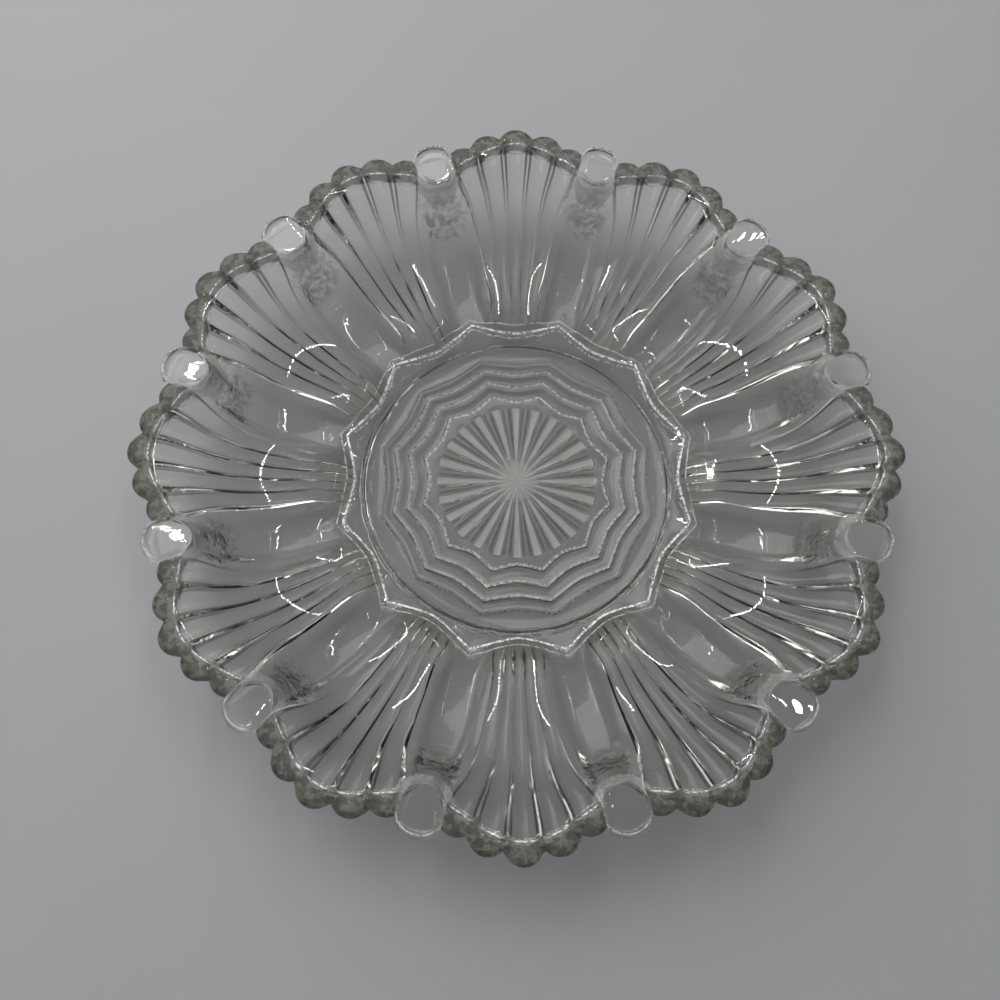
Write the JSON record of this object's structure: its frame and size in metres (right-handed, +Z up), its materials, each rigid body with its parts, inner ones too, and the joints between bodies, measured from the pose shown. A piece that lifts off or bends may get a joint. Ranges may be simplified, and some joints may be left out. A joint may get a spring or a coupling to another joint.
{
  "type": "deviled egg platter",
  "caption": "round pressed clear glass platter with a ring of oval egg wells between fluted fans, a sunburst centre and a scalloped rim",
  "frame": {"origin": "centre of the platter, on the surface that it stands on", "axes": "+Z up along the platter's axis of symmetry, +X along the middle of a fan"},
  "size_m": [0.28, 0.28, 0.0376],
  "materials": {
    "glass": "polished"
  },
  "bodies": {
    "root": {"sunburst": "glass", "web": "glass", "border": "glass", "foot_ring": "glass", "fan_1": "glass", "fan_2": "glass", "fan_3": "glass", "fan_4": "glass", "fan_5": "glass", "fan_6": "glass", "fan_7": "glass", "fan_8": "glass", "fan_9": "glass", "fan_10": "glass", "fan_11": "glass", "fan_12": "glass", "well_1": "glass", "well_2": "glass", "well_3": "glass", "well_4": "glass", "well_5": "glass", "well_6": "glass", "well_7": "glass", "well_8": "glass", "well_9": "glass", "well_10": "glass", "well_11": "glass", "well_12": "glass", "rim_beads_1": "glass", "rim_beads_2": "glass", "rim_beads_3": "glass", "rim_beads_4": "glass", "rim_beads_5": "glass", "rim_beads_6": "glass", "rim_beads_7": "glass", "rim_beads_8": "glass", "rim_beads_9": "glass", "rim_beads_10": "glass", "rim_beads_11": "glass", "rim_beads_12": "glass", "tab_1": "glass", "tab_2": "glass", "tab_3": "glass", "tab_4": "glass", "tab_5": "glass", "tab_6": "glass", "tab_7": "glass", "tab_8": "glass", "tab_9": "glass", "tab_10": "glass", "tab_11": "glass", "tab_12": "glass"}
  },
  "joints": []
}
